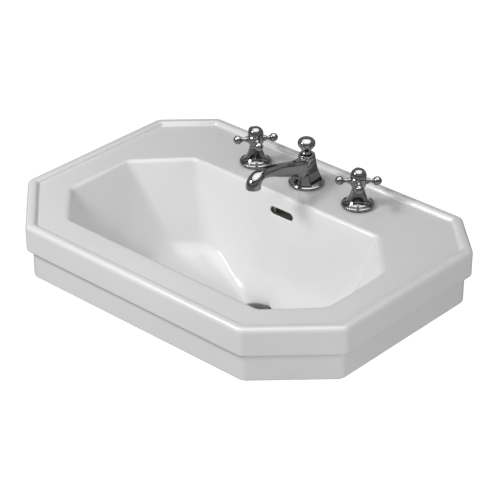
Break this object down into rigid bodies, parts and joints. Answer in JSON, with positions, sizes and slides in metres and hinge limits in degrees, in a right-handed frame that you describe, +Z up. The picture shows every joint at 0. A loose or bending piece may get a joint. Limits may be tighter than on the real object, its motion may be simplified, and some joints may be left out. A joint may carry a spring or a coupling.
{
  "type": "wall-hung washbasin with three-hole mixer",
  "caption": "Octagonal ceramic washbasin with a raised lip, stepped skirt and faceted bowl, a cross-handle mixer with a fixed spout, and a pop-up waste worked by a lift rod.",
  "frame": {"origin": "on the basin's flat back face, midway between the two wall-fixing holes", "axes": "+X to the right as the user faces the basin, +Y into the wall, +Z up"},
  "size_m": [0.7, 0.5, 0.377],
  "materials": {
    "ceramic": "glossy white glaze",
    "chrome": "polished chrome plate",
    "brass": "plain machined",
    "steel": "zinc plated",
    "rubber": "matt black",
    "plastic": "moulded, off-white",
    "braid": "braided steel over a rubber hose"
  },
  "bodies": {
    "fixed": {"basin": "ceramic", "hot_valve_body": "brass", "hot_cartridge": "brass", "hot_lock_nut": "brass", "hot_hose_valve_nut": "brass", "hot_hose_tee_nut": "brass", "hot_escutcheon": "chrome", "hot_deck_seal": "rubber", "hot_rubber_washer": "rubber", "hot_steel_washer": "steel", "hot_hose": "braid", "cold_valve_body": "brass", "cold_cartridge": "brass", "cold_lock_nut": "brass", "cold_hose_valve_nut": "brass", "cold_hose_tee_nut": "brass", "cold_escutcheon": "chrome", "cold_deck_seal": "rubber", "cold_rubber_washer": "rubber", "cold_steel_washer": "steel", "cold_hose": "braid", "spout_body": "chrome", "drain_flange": "chrome", "drain_body": "chrome", "drain_lock_nut": "chrome", "pivot_nut": "chrome", "spout_shank": "brass", "spout_lock_nut": "brass", "spout_tee": "brass", "spout_gasket": "rubber", "spout_rubber_washer": "rubber", "drain_gasket": "rubber", "spout_steel_washer": "steel", "spout_aerator": "plastic", "lift_rod_guide_bush": "plastic", "drain_washer": "plastic", "pivot_seal": "plastic"},
    "hot_handle": {"hot_spindle": "brass", "hot_cross_handle": "chrome", "hot_handle_screw": "steel", "hot_dome_cap": "chrome"},
    "cold_handle": {"cold_spindle": "brass", "cold_cross_handle": "chrome", "cold_handle_screw": "steel", "cold_dome_cap": "chrome"},
    "lift_assembly": {"lift_knob": "chrome", "lift_rod": "chrome", "clevis_strap": "steel", "strap_thumb_screw": "brass", "strap_spring_clip": "steel"},
    "pivot_assembly": {"pivot_rod": "chrome"},
    "stopper_assembly": {"stopper": "chrome", "stopper_seal": "rubber"}
  },
  "joints": [
    {"name": "hot_handle_turn", "type": "hinge", "parent": "fixed", "child": "hot_handle", "pos_m": [-0.1135, -0.0775, 0.1], "axis": [0, 0, 1], "range_deg": [0, 90]},
    {"name": "cold_handle_turn", "type": "hinge", "parent": "fixed", "child": "cold_handle", "pos_m": [0.1135, -0.0775, 0.1], "axis": [0, 0, 1], "range_deg": [-90, 0]},
    {"name": "lift_rod_slide", "type": "slide", "parent": "fixed", "child": "lift_assembly", "axis": [0, 0, 1], "range_m": [0, 0.0313]},
    {"name": "pivot_rod_tilt", "type": "hinge", "parent": "fixed", "child": "pivot_assembly", "pos_m": [0, -0.175, -0.201], "axis": [1, 0, 0], "range_deg": [0, 17]},
    {"name": "stopper_slide", "type": "slide", "parent": "fixed", "child": "stopper_assembly", "axis": [0, 0, 1], "range_m": [-0.008, 0]}
  ],
  "couplings": [
    {"joint": "pivot_rod_tilt", "follows": "lift_rod_slide", "rad_per_m": 9.479},
    {"joint": "stopper_slide", "follows": "lift_rod_slide", "ratio": -0.2555}
  ]
}
